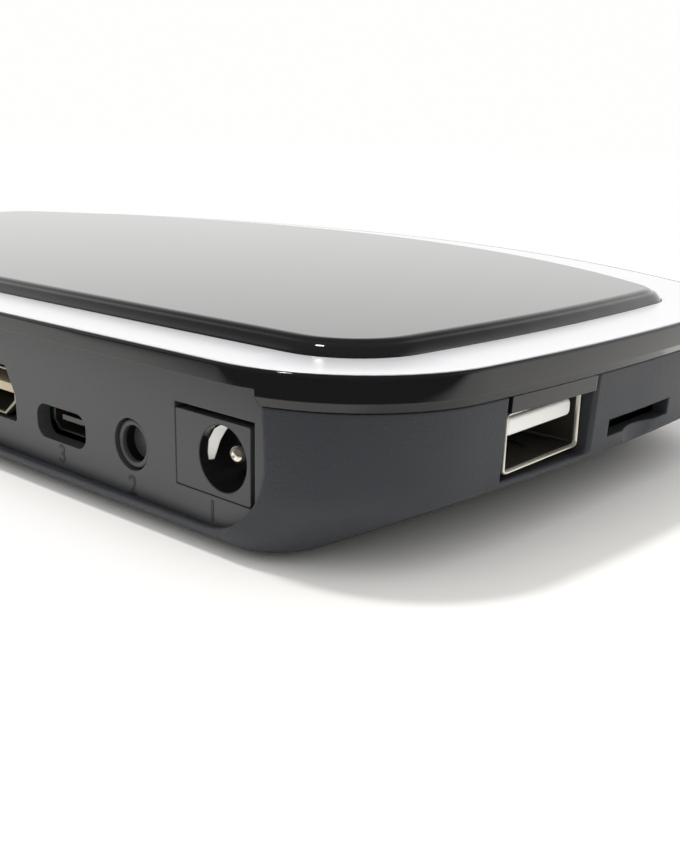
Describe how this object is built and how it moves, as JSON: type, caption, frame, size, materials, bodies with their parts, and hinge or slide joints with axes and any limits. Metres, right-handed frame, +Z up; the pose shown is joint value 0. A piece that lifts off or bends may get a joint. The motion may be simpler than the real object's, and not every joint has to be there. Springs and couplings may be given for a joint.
{
  "type": "streaming tv box",
  "caption": "Flat bow-fronted streaming box for a television, with sockets in a rear bay and on one side, a card slot, a glossy cover with a silver ledge, and rubber feet.",
  "frame": {"origin": "on the table under the middle of the box's bounding box", "axes": "+Z up, +Y out of the socket plate at the rear, -X towards the side with the single type A socket and the card slot"},
  "size_m": [0.1574, 0.0966, 0.0195],
  "materials": {
    "case": "charcoal plastic with a fine spark texture",
    "cover": "piano black, polished",
    "trim": "satin silver paint on plastic",
    "panel": "piano black, polished",
    "plate": "smooth satin dark grey plastic",
    "window": "smoked infrared window",
    "foot_rubber": "soft matte rubber",
    "screw_steel": "dark zinc",
    "board": "green solder mask over glass laminate",
    "nickel": "nickel plated sheet",
    "white_plastic": "white connector plastic",
    "gold_contact": "gold flash on copper alloy",
    "jack_black": "black connector plastic",
    "pin_metal": "plated brass",
    "tan_plastic": "tan high temperature plastic",
    "spring_steel": "spring wire",
    "button_grey": "grey plastic",
    "chip": "moulded chip package",
    "pad_grey": "soft silicone pad",
    "sink": "extruded, plain finish",
    "can_metal": "drawn can",
    "coil_grey": "ferrite",
    "aerial_copper": "copper track under clear film",
    "lead_black": "black lead sleeve",
    "lamp": "clear blue lens"
  },
  "bodies": {
    "root": {"lower_case": "case", "upper_cover": "cover", "silver_trim": "trim", "top_panel": "panel", "rear_port_plate": "plate", "front_window": "window", "rubber_feet": "foot_rubber", "case_screws": "screw_steel", "board_screws": "screw_steel", "main_board": "board", "side_port_shell": "nickel", "side_port_tongue": "white_plastic", "side_port_contacts": "gold_contact", "rear_port_shells": "nickel", "rear_port_tongues": "white_plastic", "rear_port_contacts": "gold_contact", "power_jack_body": "jack_black", "power_jack_pin": "pin_metal", "power_jack_blade": "pin_metal", "sound_jack_body": "jack_black", "sound_jack_ring": "nickel", "micro_port_shell": "nickel", "micro_port_tongue": "jack_black", "picture_shell": "nickel", "picture_tongue": "tan_plastic", "network_shield": "nickel", "network_housing": "jack_black", "network_contacts": "gold_contact", "card_socket_base": "jack_black", "card_socket_cover": "nickel", "card_spring": "spring_steel", "reset_switch_body": "jack_black", "processor": "chip", "memory_chips": "chip", "flash_chip": "chip", "regulators": "chip", "network_transformer": "chip", "thermal_pad": "pad_grey", "heat_sink": "sink", "capacitors": "can_metal", "power_coils": "coil_grey", "crystal": "can_metal", "radio_board": "board", "radio_can": "nickel", "aerial": "aerial_copper", "aerial_lead": "lead_black", "remote_receiver": "jack_black", "status_lamp": "lamp"},
    "card_carriage": {"card_carriage": "tan_plastic"},
    "reset_button": {"reset_plunger": "button_grey"}
  },
  "joints": [
    {"name": "card_push", "type": "slide", "parent": "root", "child": "card_carriage", "axis": [1, 0, 0], "range_m": [0, 0.0036], "stiffness_N_per_m": 60, "deforming": ["card_spring"]},
    {"name": "reset_press", "type": "slide", "parent": "root", "child": "reset_button", "axis": [0, 0, 1], "range_m": [0, 0.00025], "stiffness_N_per_m": 900}
  ]
}
